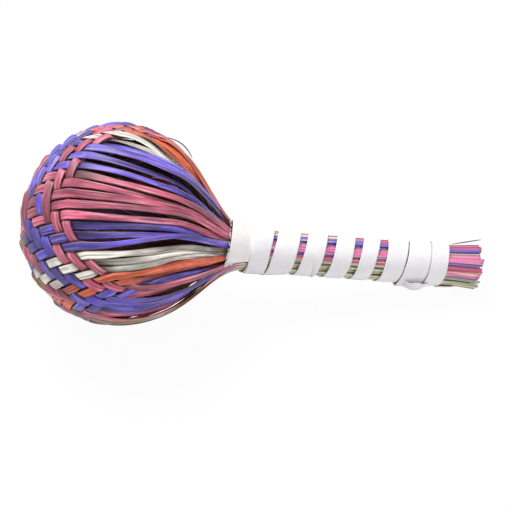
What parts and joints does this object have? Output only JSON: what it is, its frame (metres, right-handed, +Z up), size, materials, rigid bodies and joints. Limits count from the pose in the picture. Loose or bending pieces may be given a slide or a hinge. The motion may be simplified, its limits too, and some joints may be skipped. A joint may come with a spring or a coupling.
{
  "type": "hand rattle",
  "caption": "Hand rattle: a hollow ball woven from dyed palm splints, with loose seeds inside and the splint ends bound with cloth tape into a straight handle.",
  "frame": {"origin": "under the middle of the rattle's box, on the table that it lies on", "axes": "+Z up, +X from the ball towards the butt of the handle"},
  "size_m": [0.2388, 0.101, 0.1004],
  "materials": {
    "rose_splint": "dyed, satin",
    "violet_splint": "dyed, satin",
    "orange_splint": "dyed, satin",
    "pale_splint": "undyed, satin",
    "gold_splint": "undyed, satin",
    "grip_tape": "matt cloth",
    "seed": "smooth"
  },
  "bodies": {
    "basket": {"warp_splint_01": "orange_splint", "warp_splint_02": "orange_splint", "warp_splint_03": "orange_splint", "warp_splint_04": "pale_splint", "warp_splint_05": "pale_splint", "warp_splint_06": "violet_splint", "warp_splint_07": "violet_splint", "warp_splint_08": "violet_splint", "warp_splint_09": "violet_splint", "warp_splint_10": "rose_splint", "warp_splint_11": "rose_splint", "warp_splint_12": "rose_splint", "warp_splint_13": "rose_splint", "warp_splint_14": "rose_splint", "warp_splint_15": "violet_splint", "warp_splint_16": "violet_splint", "warp_splint_17": "violet_splint", "warp_splint_18": "pale_splint", "warp_splint_19": "pale_splint", "warp_splint_20": "pale_splint", "warp_splint_21": "orange_splint", "warp_splint_22": "orange_splint", "warp_splint_23": "violet_splint", "warp_splint_24": "violet_splint", "weft_splint_01": "rose_splint", "weft_splint_02": "rose_splint", "weft_splint_03": "rose_splint", "weft_splint_04": "violet_splint", "weft_splint_05": "violet_splint", "weft_splint_06": "violet_splint", "weft_splint_07": "rose_splint", "weft_splint_08": "rose_splint", "weft_splint_09": "gold_splint", "weft_splint_10": "rose_splint", "weft_splint_11": "violet_splint", "weft_splint_12": "rose_splint", "weft_splint_13": "pale_splint", "weft_splint_14": "orange_splint", "weft_splint_15": "violet_splint", "weft_splint_16": "violet_splint", "weft_splint_17": "gold_splint", "grip_tape": "grip_tape"},
    "seed_1": {"seed_1": "seed"},
    "seed_2": {"seed_2": "seed"},
    "seed_3": {"seed_3": "seed"},
    "seed_4": {"seed_4": "seed"},
    "seed_5": {"seed_5": "seed"},
    "seed_6": {"seed_6": "seed"},
    "seed_7": {"seed_7": "seed"}
  },
  "joints": [
    {"name": "seed_1_flight", "type": "slide", "parent": "basket", "child": "seed_1", "axis": [0, 0, 1], "range_m": [0, 0.0896]},
    {"name": "seed_2_flight", "type": "slide", "parent": "basket", "child": "seed_2", "axis": [0, 0, 1], "range_m": [0, 0.0866]},
    {"name": "seed_3_flight", "type": "slide", "parent": "basket", "child": "seed_3", "axis": [0, 0, 1], "range_m": [0, 0.0848]},
    {"name": "seed_4_flight", "type": "slide", "parent": "basket", "child": "seed_4", "axis": [0, 0, 1], "range_m": [0, 0.088]},
    {"name": "seed_5_flight", "type": "slide", "parent": "basket", "child": "seed_5", "axis": [0, 0, 1], "range_m": [0, 0.0876]},
    {"name": "seed_6_flight", "type": "slide", "parent": "basket", "child": "seed_6", "axis": [0, 0, 1], "range_m": [0, 0.0876]},
    {"name": "seed_7_flight", "type": "slide", "parent": "basket", "child": "seed_7", "axis": [0, 0, 1], "range_m": [0, 0.0854]}
  ]
}
